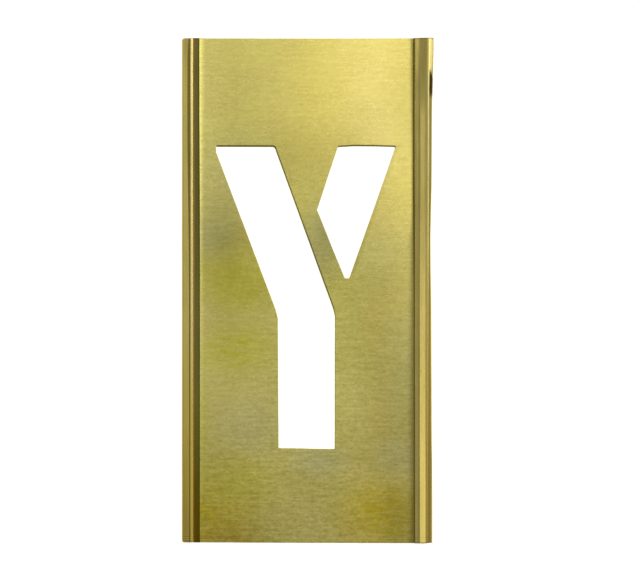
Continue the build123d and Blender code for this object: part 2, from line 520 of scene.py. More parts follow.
def sweep(name, stations, section, skew, sharp_deg):
    """Joins the sections. section(y, s) gives the outline at y, s from the nearer cut end; skew moves a point along y by its x."""
    verts, faces = [], []
    lo, hi = stations[0], stations[-1]
    rows = []
    for y in stations:
        s = min(y - lo, hi - y)
        loop = section(y, s)
        row = []
        for x, z in loop:
            verts.append((x, y + skew(x, y), z))
            row.append(len(verts) - 1)
        rows.append(row)
    m = len(rows[0])
    for a, b in zip(rows, rows[1:]):
        for i in range(m):
            faces.append([a[i], a[(i + 1) % m], b[(i + 1) % m], b[i]])
    half = (m - 6) // 2

    def cap(row):
        # the section is a bent strip: its two long sides pair up, and the rounded nose is a fan
        n = half
        l, nose, r = row[:n], row[n:n + 6], row[n + 6:][::-1]
        for i in range(n - 1):
            faces.append([l[i], l[i + 1], r[i + 1], r[i]])
        faces.append([l[-1], *nose, r[-1]])

    cap(rows[0])
    cap(rows[-1])
    return finish_mesh(name, verts, faces, sharp_deg)


def eased(s, r=0.05):
    """The sheet is a little thinner in the last hair before its cut end."""
    return SHEET - (0.07 * (1 - s / r) if s < r else 0.0)


def piecewise(knots, x):
    """Straight runs through (position, value) knots."""
    if x <= knots[0][0]:
        return knots[0][1]
    for (x0, v0), (x1, v1) in zip(knots, knots[1:]):
        if x <= x1:
            return v0 + (v1 - v0) * (x - x0) / (x1 - x0)
    return knots[-1][1]


def rolled(x0, x1, n, lean):
    """Heights of a sheet whose surface leans to the right by lean(x) degrees, starting at 0."""
    out = [(x0, 0.0)]
    step = (x1 - x0) / n
    for i in range(n):
        x = x0 + step * (i + 0.5)
        out.append((x0 + step * (i + 1), out[-1][1] - step * math.tan(math.radians(lean(x)))))
    return out


# -- left rail ---------------------------------------------------------------
hem_dark = curve_through(
    [(-TOP, -29.84), (-17.5, -29.85), (2.7, -29.89), (12.7, -29.95), (22.8, -30.10), (32.0, -30.20), (43.0, -30.27), (58.0, -30.22), (TOP, -29.90)]
)
hem_ridge = curve_through([(-TOP, -29.53), (-20.0, -29.52), (2.7, -29.48), (30.0, -29.47), (58.3, -29.50), (59.4, -29.49), (61.0, -29.46), (TOP, -29.45)])
hem_lean = curve_through(
    [(-57.8, 6.6), (-37.6, 7.0), (-17.5, 6.9), (2.7, 6.2), (22.8, 5.5), (32.9, 4.9), (43.0, 4.4), (56.8, 4.0), (61.8, 3.4)]
)
hem_flat = curve_through([(-57.8, -1.4), (-47.7, -0.3), (-27.6, 1.6), (2.7, 0.8), (22.8, 0.0), (51.8, -0.4), (61.8, -1.7)])


def left_section(y, s):
    thick = eased(s)
    corner = 0.55
    pull = corner * (1 - math.sqrt(max(0.0, 1 - (1 - s / corner) ** 2))) if s < corner else 0.0
    x0 = X_LEFT + 0.02 + pull + 0.012 * wob(0, y, 16, 21)
    seam = seam_left(y) - 0.012
    mid = SHEET / 2
    h = LAYER * 2 + mid - 0.025            # centre line of the lip, at its outer bend
    r = 0.21
    crest = plate_lift(seam, y) - 0.004
    pts = [
        (seam, mid + crest, 0),
        (seam - 1.30, mid + 0.002, 3.0),
        (x0 + mid, mid, 0.37),
        (x0 + mid, h, r),
        (x0 + mid + r + 0.04, h, 0),
    ]
    dark, ridge, nose = hem_dark(y), hem_ridge(y), hem_lean(y)
    wave = 0.35 * wob(3, y, 24, 22)
    lean = [
        (dark - 0.06, hem_flat(y) + wave), (dark + 0.07, -10.0), (ridge - 0.07, -9.0 + wave), (ridge + 0.06, nose),
        (-29.02, nose), (-28.97, nose + 2.0),
    ]
    path = bend_path(pts, 9, 5)
    lip = rolled(path[-1][0], -28.975, 46, lambda x: piecewise(lean, x))
    path += [(x, h + z) for x, z in lip[1:]]
    return sheet_loop(path, thick)


left_top = 63.46
left_bottom = -63.335


def left_skew(x, y):
    return smoothstep(-28.95, -28.80, x) * (0.12 * smoothstep(61.5, 63.4, y) - 0.09 * smoothstep(-61.5, -63.2, y))


left_stations = ends_dense(left_bottom, left_top, 0.8)
left_rail = sweep("left_rail_strip", left_stations, left_section, left_skew, 40)

# -- right rail --------------------------------------------------------------
right_edge = curve_through(
    [
        (-63.6, 31.38), (-58.0, 31.40), (-47.0, 31.36), (-37.0, 31.31), (-20.0, 31.25), (-2.0, 31.13),
        (7.0, 30.96), (13.0, 30.93), (20.0, 31.04), (28.0, 31.22), (43.0, 31.30),
        (48.0, 31.36), (53.0, 31.47), (58.0, 31.61), (60.5, 31.67), (61.8, 31.68), (63.7, 31.66),
    ]
)
wall_lean = curve_through([(-TOP, 11.0), (2.7, 10.0), (25.0, 4.0), (TOP, 3.0)])
cover_a = curve_through([(-57.8, -3.6), (-37.6, -4.7), (2.7, -5.3), (43.0, -5.1), (51.8, -5.3), (56.8, -3.8), (61.8, -3.1)])
cover_groove = curve_through([(-TOP, -6.8), (43.0, -7.2), (51.8, -7.6), (56.8, -6.6), (61.8, -5.4)])
cover_b = curve_through(
    [
        (-57.8, 9.6), (-47.7, 9.0), (-37.6, 7.1), (-27.6, 5.3), (-17.5, 3.9), (-7.4, 2.4), (2.7, 1.2), (12.7, -1.4),
        (22.8, -2.3), (42.9, -2.9), (47.5, -5.2), (51.8, -6.3), (56.8, -6.9), (61.8, -7.1),
    ]
)
cover_c = curve_through([(-TOP, -4.4), (-17.5, -4.2), (12.7, -5.2), (43.0, -6.4), (61.8, -7.2)])
corner_at = curve_through(
    [(-40.0, 30.18), (2.7, 30.27), (22.8, 30.36), (30.0, 30.39), (38.7, 30.40), (47.0, 30.38), (53.0, 30.42), (58.0, 30.45), (TOP, 30.46)]
)
corner_soft = curve_through([(-TOP, 0.04), (2.7, 0.04), (22.8, 0.05), (42.0, 0.06), (48.0, 0.08), (54.0, 0.12), (TOP, 0.12)])
before_corner = curve_through(
    [(-57.8, -3.4), (-40.0, -2.2), (-17.5, -1.2), (2.7, -0.9), (12.7, -0.4), (22.8, -1.4), (43.0, -3.8), (60.0, -4.6)]
)
groove_end = curve_through([(-TOP, 28.22), (0.0, 28.23), (15.0, 28.32), (30.0, 28.39), (45.0, 28.38), (55.0, 28.30)])
flared = curve_through([(51.0, 0.0), (53.4, 0.15), (55.6, 1.0), (TOP, 1.0)])


def right_section(y, s):
    thick = eased(s)
    mid = SHEET / 2
    end = right_edge(y) - mid
    low = LAYER + mid
    peak = LAYER * 3 + mid - 0.012
    foot = SEAM_RIGHT + 0.22
    lift = plate_lift(SEAM_RIGHT, y) - 0.004
    open_top = flared(y)
    a, groove, b, c = cover_a(y), cover_groove(y), cover_b(y), cover_c(y)
    start = foot + 0.18 + (peak - mid) * math.tan(math.radians(wall_lean(y)))
    bend_at = end - 0.12 - 0.15 * smoothstep(25.0, -20.0, y)
    brink = before_corner(y)
    corner, soft = corner_at(y), corner_soft(y)
    crown = 0.05 * smoothstep(-30.0, -50.0, y)
    lean = [
        (27.74, a), (27.93, groove), (groove_end(y) - 0.16, groove), (groove_end(y), b),
        (29.48 + crown, b), (29.66 + crown, c), (29.86, c),
        (30.04, brink), (corner - soft / 2, brink),
        (corner + soft / 2, 23.0 + (12.0 - 23.0) * open_top),
        (corner + soft / 2 + 0.20, 31.0 + (12.2 - 31.0) * open_top),
        (31.20, 42.0 + (12.5 - 42.0) * open_top),
    ]
    cover = rolled(start, bend_at, 96, lambda x: piecewise(lean, x))
    h = peak - max(z for _, z in cover)
    pts = [
        (SEAM_RIGHT + 0.004, mid + lift, 0),
        (foot, mid + lift, 0.19),
        (start - 0.18, h, 0.18),
        (start, h, 0),
    ]
    path = bend_path(pts, 9, 5)
    path += [(x, h + z) for x, z in cover[1:]]
    # outer bend: part of an ellipse that takes over the lean of the cover
    xb, zb = path[-1]
    slope = math.tan(math.radians(piecewise(lean, bend_at)))
    wide = end - xb
    fall = min(max(zb - (low + 0.16), 2.4 * wide), zb - mid - 0.05)
    k, q = wide, 0.0
    for _ in range(12):
        q = math.atan(k / fall * slope * math.cos(q))
        k = wide / (1 - math.sin(q))
    tall = fall / math.cos(q)
    for i in range(1, 15):
        t = q + (math.pi / 2 - q) * i / 14
        path.append((xb + k * (math.sin(t) - math.sin(q)), zb + tall * (math.cos(t) - math.cos(q))))
    zm = path[-1][1]
    turn = max(0.17, zm - low)
    for i in range(1, 11):
        t = math.pi / 2 * i / 10
        path.append((end - turn * (1 - math.cos(t)), zm - (zm - low) * math.sin(t)))
    for i in range(1, 9):
        path.append((end - turn + (SEAM_RIGHT + 1.30 - end + turn) * i / 8, low + 0.01 * i / 8))
    return sheet_loop(path, thick)


right_skew_top = curve_through([(26.6, 0.05), (27.3, 0.10), (28.6, 0.13), (31.7, 0.14)])
right_skew_bottom = curve_through([(26.6, 0.03), (28.0, 0.0), (28.9, -0.02), (29.6, 0.0), (30.3, 0.10), (31.7, 0.12)])


def right_skew(x, y):
    up = smoothstep(61.5, 63.5, y)
    down = smoothstep(-61.5, -63.5, y)
    return right_skew_top(x) * up + right_skew_bottom(x) * down


right_stations = ends_dense(-63.57, 63.45, 0.8)
right_rail = sweep("right_rail_strip", right_stations, right_section, right_skew, 40)

plate = make_plate()

# ---------------------------------------------------------------------------
# materials
# ---------------------------------------------------------------------------
def new_material(name):
    mat = bpy.data.materials.new(name)
    mat.use_nodes = True
    nt = mat.node_tree
    nt.nodes.clear()
    out = nt.nodes.new("ShaderNodeOutputMaterial")
    bsdf = nt.nodes.new("ShaderNodeBsdfPrincipled")
    nt.links.new(bsdf.outputs["BSDF"], out.inputs["Surface"])
    return mat, nt, bsdf


class Graph:
    """Short ways to write a node tree."""

    def __init__(self, nt):
        self.nt = nt
        self.coord = nt.nodes.new("ShaderNodeTexCoord").outputs["Object"]

    def link(self, a, b):
        self.nt.links.new(a, b)

    def scaled(self, x, y, z=0.0, shift=(0, 0, 0)):
        m = self.nt.nodes.new("ShaderNodeMapping")
        m.inputs["Scale"].default_value = (x, y, z)
        m.inputs["Location"].default_value = shift
        self.link(self.coord, m.inputs["Vector"])
        return m.outputs["Vector"]

    def noise(self, vector, scale=1.0, detail=3.0, rough=0.55, distortion=0.0):
        n = self.nt.nodes.new("ShaderNodeTexNoise")
        n.inputs["Scale"].default_value = scale
        n.inputs["Detail"].default_value = detail
        n.inputs["Roughness"].default_value = rough
        n.inputs["Distortion"].default_value = distortion
        self.link(vector, n.inputs["Vector"])
        return n.outputs["Fac"]

    def remap(self, value, a, b, c, d, smooth=False):
        m = self.nt.nodes.new("ShaderNodeMapRange")
        m.interpolation_type = "SMOOTHSTEP" if smooth else "LINEAR"
        for k, v in zip(("From Min", "From Max", "To Min", "To Max"), (a, b, c, d)):
            m.inputs[k].default_value = v
        self.link(value, m.inputs["Value"])
        return m.outputs["Result"]

    def math(self, op, a, b=None, c=None):
        m = self.nt.nodes.new("ShaderNodeMath")
        m.operation = op
        for i, v in enumerate((a, b, c)):
            if v is None:
                continue
            if isinstance(v, (int, float)):
                m.inputs[i].default_value = v
            else:
                self.link(v, m.inputs[i])
        return m.outputs[0]

    def mix(self, fac, a, b, mode="MIX"):
        m = self.nt.nodes.new("ShaderNodeMix")
        m.data_type = "RGBA"
        m.blend_type = mode
        m.clamp_factor = True
        if isinstance(fac, (int, float)):
            m.inputs["Factor"].default_value = fac
        else:
            self.link(fac, m.inputs["Factor"])
        for key, v in (("A", a), ("B", b)):
            socket = [s for s in m.inputs if s.name == key and s.type == "RGBA"][0]
            if isinstance(v, tuple):
                socket.default_value = (*v, 1.0)
            else:
                self.link(v, socket)
        return [s for s in m.outputs if s.type == "RGBA"][0]

    def spot(self, x, y, rx, ry, soft=0.6):
        """1 at a place on the plate, given in mm, falling to 0 at its radii."""
        m = self.nt.nodes.new("ShaderNodeMapping")
        m.inputs["Scale"].default_value = (1 / (rx * MM), 1 / (ry * MM), 0)
        m.inputs["Location"].default_value = (-x / rx, -y / ry, 0)
        self.link(self.coord, m.inputs["Vector"])
        l = self.nt.nodes.new("ShaderNodeVectorMath")
        l.operation = "LENGTH"
        self.link(m.outputs["Vector"], l.inputs[0])
        return self.remap(l.outputs["Value"], 1.0, 1.0 - soft, 0.0, 1.0, True)

    def bump(self, height, strength, distance, under=None):
        b = self.nt.nodes.new("ShaderNodeBump")
        b.inputs["Strength"].default_value = strength
        b.inputs["Distance"].default_value = distance
        self.link(height, b.inputs["Height"])
        if under is not None:
            self.link(under, b.inputs["Normal"])
        return b.outputs["Normal"]


def grey_of(nt, g, value):
    rgb = nt.nodes.new("ShaderNodeCombineColor")
    for k in range(3):
        g.link(value, rgb.inputs[k])
    return rgb.outputs["Color"]


def scribed(g, x, y, depth, painted_light):
    """Shade of the fine lines ruled across the plate just above its bottom edge, and painted shade along the last hair
    at both ends, where the cut edge rounds away from the light.
    """
    level = g.math("MULTIPLY_ADD", x, 0.0046, y)       # they run parallel to the edge, which isn't quite square
    wave = g.math("COSINE", g.math("MULTIPLY", g.math("ADD", level, 0.06205), 2 * math.pi / 0.0005))
    here = g.math("MULTIPLY", g.remap(level, -0.06180, -0.06195, 0.0, 1.0), g.remap(level, -0.0634, -0.0632, 0.0, 1.0))
    lines = g.math("MULTIPLY_ADD", g.math("MULTIPLY", wave, here), -depth, 1.0)
    # painted shade in the last hair at both cut ends
    ends = g.remap(g.math("ABSOLUTE", y), 0.06322, 0.06345, 1.0, painted_light, True)
    return g.math("MULTIPLY", lines, ends)


def build_panel_brass():
    mat, nt, bsdf = new_material("panel_brass")
    g = Graph(nt)
    # brushing runs across the plate: short dashes, long in x and fine in y
    dashes = g.noise(g.scaled(400, 1050), detail=2, rough=0.55)
    fine = g.noise(g.scaled(110, 1400, shift=(3.1, 7.7, 0)), detail=2, rough=0.55)
    lines = g.math("ADD", g.math("MULTIPLY", dashes, 0.55), g.math("MULTIPLY", fine, 0.45))
    grain = g.noise(g.scaled(1100, 1500, shift=(6.3, 1.1, 0)), detail=1, rough=0.5)
    cloud = g.noise(g.scaled(60, 85), detail=3, rough=0.55, distortion=0.4)
    mottle = g.noise(g.scaled(420, 620, shift=(9, 2, 0)), detail=2, rough=0.6)
    blotch = g.noise(g.scaled(170, 520, shift=(4, 4, 0)), detail=4, rough=0.68)
    tint = g.noise(g.scaled(420, 950, shift=(2, 14, 0)), detail=2, rough=0.6)
    pits = g.noise(g.scaled(800, 1700, shift=(1, 5, 0)), detail=2, rough=0.5)

    gold = (0.835, 0.700, 0.205)
    green = (0.745, 0.695, 0.170)
    moss = (0.740, 0.665, 0.105)
    steel = (0.735, 0.675, 0.300)
    deep = (0.835, 0.700, 0.150)
    grey = (0.740, 0.665, 0.225)
    ochre = (0.745, 0.590, 0.050)
    brown = (0.660, 0.470, 0.060)

    sides = nt.nodes.new("ShaderNodeSeparateXYZ")
    g.link(g.coord, sides.inputs[0])
    x, y = sides.outputs["X"], sides.outputs["Y"]
    across = g.remap(x, -0.018, 0.010, 0.50, 0.0, True)
    colour = g.mix(g.math("MULTIPLY", across, g.remap(cloud, 0.35, 0.6, 0.5, 1.0, True)), gold, green)
    vary = g.remap(blotch, 0.36, 0.62, 0.25, 1.0, True)
    colour = g.mix(g.math("MULTIPLY", g.spot(-17, 28, 16, 17, 0.9), 0.9), colour, grey)
    colour = g.mix(g.math("MULTIPLY", g.spot(-22, 18, 9, 8, 0.9), 0.9), colour, grey)
    colour = g.mix(g.math("MULTIPLY", g.spot(25, -22, 10, 30, 0.9), 0.9), colour, grey)
    colour = g.mix(g.math("MULTIPLY", g.spot(16, 8, 14, 12, 0.9), 0.7), colour, grey)
    colour = g.mix(g.math("MULTIPLY", g.spot(3, 50, 14, 24, 0.9), 0.6), colour, deep)
    colour = g.mix(g.math("MULTIPLY", g.spot(25, 26, 8, 14, 0.9), 0.5), colour, deep)
    colour = g.mix(g.math("MULTIPLY", g.spot(-17, 2, 14, 11, 0.7), g.remap(vary, 0.25, 1.0, 0.75, 1.0)), colour, moss)
    colour = g.mix(g.math("MULTIPLY", g.spot(-17, -15, 17, 10, 0.9), g.remap(vary, 0.25, 1.0, 0.45, 1.0)), colour, (0.740, 0.665, 0.085))
    colour = g.mix(g.math("MULTIPLY", g.spot(-27, -34, 4, 20, 0.9), 0.6), colour, moss)
    colour = g.mix(g.math("MULTIPLY", g.spot(-17, -49, 18, 10, 0.9), 0.5), colour, (0.745, 0.630, 0.070))
    colour = g.mix(g.math("MULTIPLY", g.spot(-14, -34, 14, 11, 0.9), 0.95), colour, grey)
    colour = g.mix(g.math("MULTIPLY", g.spot(17, -56, 16, 13, 0.9), g.remap(vary, 0.25, 1.0, 0.65, 1.0)), colour, ochre)
    colour = g.mix(g.math("MULTIPLY", g.spot(-27, -57, 21, 13, 0.9), g.remap(vary, 0.25, 1.0, 0.65, 1.0)), colour, ochre)
    colour = g.mix(g.math("MULTIPLY", g.spot(-20, -47, 14, 10, 0.9), g.remap(vary, 0.25, 1.0, 0.85, 0.45)), colour, moss)
    colour = g.mix(g.math("MULTIPLY", g.spot(-20, -65, 15, 9, 0.9), vary), colour, brown)
    # greener down the middle, where the plate has been wiped most
    colour = g.mix(g.math("MULTIPLY", g.spot(2, -14, 19, 62, 0.7), 0.60), colour, green)
    colour = g.mix(g.math("MULTIPLY", g.spot(4, 13, 8, 14, 0.9), 0.9), colour, steel)
    colour = g.mix(g.math("MULTIPLY", g.spot(3, -43, 11, 6, 0.9), 0.6), colour, steel)
    colour = g.mix(g.math("MULTIPLY", g.spot(23, -42, 9, 8, 0.9), 0.6), colour, steel)
    colour = g.mix(g.math("MULTIPLY", g.spot(-24, 13, 9, 7, 0.9), 0.6), colour, steel)
    colour = g.mix(g.remap(tint, 0.50, 0.72, 0.0, 0.15, True), colour, ochre)
    colour = g.mix(g.remap(tint, 0.46, 0.28, 0.0, 0.20, True), colour, green)

    # how much of the light the tarnish takes
    shade = g.remap(lines, 0.28, 0.72, 0.80, 1.18)
    shade = g.math("MULTIPLY", shade, g.remap(grain, 0.25, 0.75, 0.88, 1.10))
    shade = g.math("MULTIPLY", shade, g.remap(mottle, 0.30, 0.70, 0.95, 1.04))
    shade = g.math("MULTIPLY", shade, g.remap(pits, 0.62, 0.72, 1.0, 0.80, True))
    shade = g.math("MULTIPLY", shade, g.remap(pits, 0.34, 0.27, 1.0, 1.10, True))
    # painted light: the marks are painted faintest towards the top right, fainter across the left middle and strongest
    # towards the bottom, standing in for the key light's broad reflection, which hides them at the top right
    painted_light = g.remap(g.math("MULTIPLY_ADD", x, 0.6, y), -0.055, 0.070, 1.18, 0.32)
    painted_light = g.math("MULTIPLY", painted_light, g.remap(g.spot(-23, -14, 22, 46, 0.8), 0, 1, 1.0, 0.64))
    shade = g.math("POWER", shade, painted_light)
    # broad darker and lighter patches: darker across the upper stem and at the bottom corners, lighter in places
    # between
    for sx, sy, rx, ry, k in (
        (-17, 11, 24, 17, 0.80), (5, 13, 9, 16, 0.72), (-13, -27, 34, 34, 1.20), (-27.5, 46, 11, 38, 1.16),
        (-28.5, -24, 7, 34, 1.10), (23, 28, 13, 24, 1.15), (12, 50, 24, 22, 1.10), (28, -62, 14, 22, 0.72),
        (19, -14, 13, 44, 0.90), (-18, -64, 22, 12, 0.88), (11, -29, 9, 20, 1.10), (20, 0, 20, 9, 0.95),
        (20, -58, 26, 16, 0.96), (27, 50, 12, 34, 0.86), (-28, -2, 9, 58, 1.12), (26, -36, 12, 20, 0.90),
        (0, 34, 24, 11, 0.90), (-13, 8, 9, 8, 1.18), (21.5, -60, 5, 14, 0.90),
        (-22, 12, 7, 5, 0.90), (-16, 19, 6, 5, 1.10), (-8, -43, 13, 4.5, 1.09), (3, -49, 13, 5, 0.91), (21, -51, 8, 10, 0.93),
        (21, 24, 6, 7, 0.93),
    ):
        shade = g.math("MULTIPLY", shade, g.remap(g.spot(sx, sy, rx, ry, 1.0), 0, 1, 1.0, k))
    shade = g.math("MULTIPLY", shade, g.remap(y, -0.042, -0.050, 1.0, 1.10, True))
    # painted shade in a band on the metal beside the right arm's right edge, where the sheet rolls down towards the
    # opening
    beside = g.math("MULTIPLY_ADD", x, 0.944, g.math("MULTIPLY_ADD", y, -0.330, -0.00876))
    arm_edge_shade = g.math("MULTIPLY", g.remap(beside, -0.0004, 0.0000, 0.0, 1.0, True), g.remap(beside, 0.0004, 0.0015, 1.0, 0.0, True))
    arm_edge_shade = g.math("MULTIPLY", arm_edge_shade, g.remap(y, 0.0030, 0.0060, 0.0, 1.0, True))
    arm_edge_shade = g.math("MULTIPLY", arm_edge_shade, g.remap(y, 0.0362, 0.0372, 1.0, 0.0, True))
    arm_edge_shade = g.math("MULTIPLY", arm_edge_shade, g.remap(y, 0.0080, 0.0220, 1.0, 0.45, True))
    shade = g.math("MULTIPLY", shade, g.remap(arm_edge_shade, 0, 1, 1.0, 0.82))
    # painted shade in the rolled rims and cut faces of the openings, mostly along their tops, where the rims face down
    # and away from the light
    rim_shade = nt.nodes.new("ShaderNodeAttribute")
    rim_shade.attribute_name = "rim_shade"
    shade = g.math("MULTIPLY", shade, g.remap(rim_shade.outputs["Fac"], 0.0, 1.0, 1.0, 0.50))
    shade = g.math("MULTIPLY", shade, g.remap(cloud, 0.3, 0.7, 0.965, 1.03))
    shade = g.math("MULTIPLY", shade, scribed(g, x, y, 0.14, 0.86))
    rgb = nt.nodes.new("ShaderNodeCombineColor")
    g.link(shade, rgb.inputs[0])
    g.link(shade, rgb.inputs[1])
    g.link(g.math("POWER", shade, 1.7), rgb.inputs[2])
    colour = g.mix(1.0, colour, rgb.outputs["Color"], "MULTIPLY")
    g.link(colour, bsdf.inputs["Base Color"])
    bsdf.inputs["Metallic"].default_value = 1.0
    bsdf.inputs["Anisotropic"].default_value = 0.1
    rough = g.math("ADD", g.remap(lines, 0.25, 0.75, 0.300, 0.250), g.remap(cloud, 0.3, 0.7, -0.01, 0.02))
    g.link(rough, bsdf.inputs["Roughness"])
    tangent = nt.nodes.new("ShaderNodeTangent")
    tangent.direction_type = "UV_MAP"
    tangent.uv_map = "brushing"
    g.link(tangent.outputs["Tangent"], bsdf.inputs["Tangent"])
    # the brushing fades where the panel runs into the rails
    inside = g.math("MULTIPLY", g.remap(x, 0.0263, 0.0252, 0.1, 1.0, True), g.remap(x, -0.0271, -0.0262, 0.1, 1.0, True))
    n = g.bump(g.math("MULTIPLY", lines, inside), 1.0, 0.0000025)
    n = g.bump(pits, 0.6, 0.000003, n)
    g.link(n, bsdf.inputs["Normal"])
    return mat


def build_rail_brass():
    mat, nt, bsdf = new_material("rail_brass")
    g = Graph(nt)
    # polished lengthwise: lines run along the rail
    draw = g.noise(g.scaled(4200, 22), detail=3, rough=0.6)
    cloud = g.noise(g.scaled(300, 70), detail=4, rough=0.6, distortion=0.3)
    marks = g.noise(g.scaled(900, 70, shift=(2, 8, 0)), detail=2, rough=0.6)
    streak = g.noise(g.scaled(1500, 60, shift=(7, 3, 0)), detail=2, rough=0.6)
    brass = (0.860, 0.690, 0.200)
    dull = (0.740, 0.600, 0.165)
    rosy = (0.860, 0.640, 0.190)
    green = (0.760, 0.670, 0.160)
    umber = (0.330, 0.225, 0.055)
    brown = (0.430, 0.255, 0.045)
    olive = (0.340, 0.300, 0.092)
    moss = (0.220, 0.235, 0.016)
    low_brown = (0.370, 0.185, 0.002)
    low_olive = (0.270, 0.235, 0.010)
    low_end = (0.290, 0.195, 0.002)
    ochre = (0.760, 0.560, 0.090)
    pale = (0.800, 0.680, 0.265)
    warm = (0.925, 0.665, 0.150)
    black = (0.085, 0.036, 0.006)
    sides = nt.nodes.new("ShaderNodeSeparateXYZ")
    g.link(g.coord, sides.inputs[0])
    x = sides.outputs["X"]
    y = sides.outputs["Y"]
    colour = g.mix(g.remap(cloud, 0.36, 0.66, 0.0, 0.8, True), brass, dull)
    colour = g.mix(g.remap(streak, 0.52, 0.66, 0.0, 0.6, True), colour, rosy)
    colour = g.mix(g.remap(streak, 0.46, 0.34, 0.0, 0.6, True), colour, green)
    colour = g.mix(g.remap(draw, 0.54, 0.74, 0.0, 0.30, True), colour, umber)
    # painted shade, with some grime, on the floor of the open channel, a recess shaded by the lip: brown in the lip's
    # shadow, dark green in the crease at the seam, darker towards the bottom and lighter at the top
    seam = g.remap(y, 0.003, 0.045, -0.02718, -0.02735, True)
    inward = g.math("SUBTRACT", seam, x)
    channel_shade = g.math("MULTIPLY", g.remap(inward, 0.00170, 0.00155, 0.0, 1.0), g.remap(inward, -0.0001, 0.00002, 0.0, 1.0))
    lower = g.remap(y, -0.010, -0.055, 0.0, 1.0, True)
    lowest = g.remap(y, -0.042, -0.060, 0.0, 1.0, True)
    clear_of_lip_shadow = g.remap(g.math("MULTIPLY_ADD", lowest, 0.0003, inward), 0.00125, 0.00095, 0.0, 1.0, True)
    hue = g.mix(clear_of_lip_shadow, g.mix(lower, brown, low_brown), g.mix(lowest, g.mix(lower, olive, low_olive), low_end))
    hue = g.mix(g.remap(inward, 0.00048, 0.00026, 0.0, 0.9, True), hue, g.mix(lowest, moss, low_end))
    hue = g.mix(1.0, hue, grey_of(nt, g, g.remap(y, -0.062, -0.020, 0.76, 1.0, True)), "MULTIPLY")
    hue = g.mix(1.0, hue, grey_of(nt, g, g.remap(y, 0.054, 0.062, 1.0, 1.25, True)), "MULTIPLY")
    colour = g.mix(g.math("MULTIPLY", channel_shade, g.remap(cloud, 0.3, 0.7, 0.90, 1.0)), colour, hue)
    # painted shade in the crease at the foot of the step, darkest in its upper part
    reach = g.math("SUBTRACT", x, g.remap(y, 0.0, 0.035, 0.00010, 0.0, True))
    reach = g.math("SUBTRACT", reach, g.remap(y, 0.040, 0.060, 0.0, 0.00006, True))
    crease_shade = g.math("MULTIPLY", g.remap(x, 0.02645, 0.02650, 0.0, 1.0, True), g.remap(reach, 0.02680, 0.02700, 1.0, 0.0, True))
    bottom = g.mix(g.remap(x, 0.02664, 0.02680, 0.0, 1.0, True), (0.540, 0.430, 0.110), (0.270, 0.200, 0.035))
    colour = g.mix(crease_shade, colour, g.mix(g.remap(y, -0.005, 0.025, 0.0, 1.0, True), bottom, (0.160, 0.112, 0.008)))
    # the rounded free edge of the left lip is painted pale, as a highlight, in its upper part, and warmer marks run
    # down the outer bend of the cover
    nose_highlight = g.math("MULTIPLY", g.remap(x, -0.02952, -0.02944, 0.0, 1.0, True), g.remap(x, -0.02890, -0.02885, 1.0, 0.0))
    colour = g.mix(g.math("MULTIPLY", nose_highlight, g.remap(y, -0.040, -0.010, 0.0, 0.9, True)), colour, pale)
    down = g.math("MULTIPLY", g.remap(x, 0.0288, 0.0296, 0.0, 1.0, True), g.remap(x, 0.0306, 0.0308, 1.0, 0.0, True))
    colour = g.mix(g.math("MULTIPLY", down, g.remap(y, 0.020, -0.060, 0.0, 1.0, True)), colour, warm)
    # painted highlight: the outer bend of the cover is paler in the upper part, where its highlight runs
    bend_highlight = g.math("MULTIPLY", g.remap(x, 0.0298, 0.0301, 0.0, 1.0, True), g.remap(y, 0.010, 0.040, 0.0, 0.55, True))
    colour = g.mix(bend_highlight, colour, pale)
    # painted shade deepens the dark line where the lip dips before its nose; the outer bend on the right is darker
    # below its flared top, most towards the bottom, and darker again at its flared tip; the left rail is darker towards
    # the bottom
    dark_at = g.remap(y, -0.005, 0.045, 0.00005, -0.00032, True)
    dip_shade = g.math("MULTIPLY", g.remap(g.math("SUBTRACT", x, dark_at), -0.02998, -0.02986, 0.0, 1.0, True), g.remap(x, -0.02962, -0.02950, 1.0, 0.0, True))
    colour = g.mix(dip_shade, colour, g.mix(g.remap(y, -0.055, 0.040, 0.0, 1.0, True), (0.80, 0.73, 0.22), (0.82, 0.78, 0.46)), "MULTIPLY")
    bend = g.math("MULTIPLY", g.remap(x, 0.02995, 0.03025, 0.0, 1.0, True), g.remap(x, 0.03050, 0.03065, 1.0, 0.0, True))
    bend_darker = g.math("ADD", g.remap(y, 0.040, 0.025, 0.0, 0.6, True), g.remap(y, -0.020, -0.060, 0.0, 0.5, True))
    shade = g.remap(g.math("MULTIPLY", bend, bend_darker), 0, 1, 1.0, 0.68)
    tip = g.math("MULTIPLY", g.remap(x, 0.03035, 0.03050, 0.0, 1.0, True), g.remap(y, 0.0550, 0.0575, 0.0, 1.0, True))
    shade = g.math("MULTIPLY", shade, g.remap(tip, 0, 1, 1.0, 0.86))
    # painted shade carries the crease's shade over the top of the step, in the upper part
    foot = g.math("MULTIPLY", g.remap(x, 0.02694, 0.02700, 0.0, 1.0, True), g.remap(x, 0.02720, 0.02730, 1.0, 0.0, True))
    foot = g.math("MULTIPLY", foot, g.remap(y, 0.015, 0.022, 0.0, 1.0, True))
    shade = g.math("MULTIPLY", shade, g.remap(foot, 0, 1, 1.0, 0.84))
    lip_side = g.remap(x, -0.02885, -0.02890, 0.0, 1.0)
    foot = g.math("MULTIPLY", g.remap(y, -0.035, -0.060, 0.0, 1.0, True), lip_side)
    shade = g.math("MULTIPLY", shade, g.remap(foot, 0, 1, 1.0, 0.95))
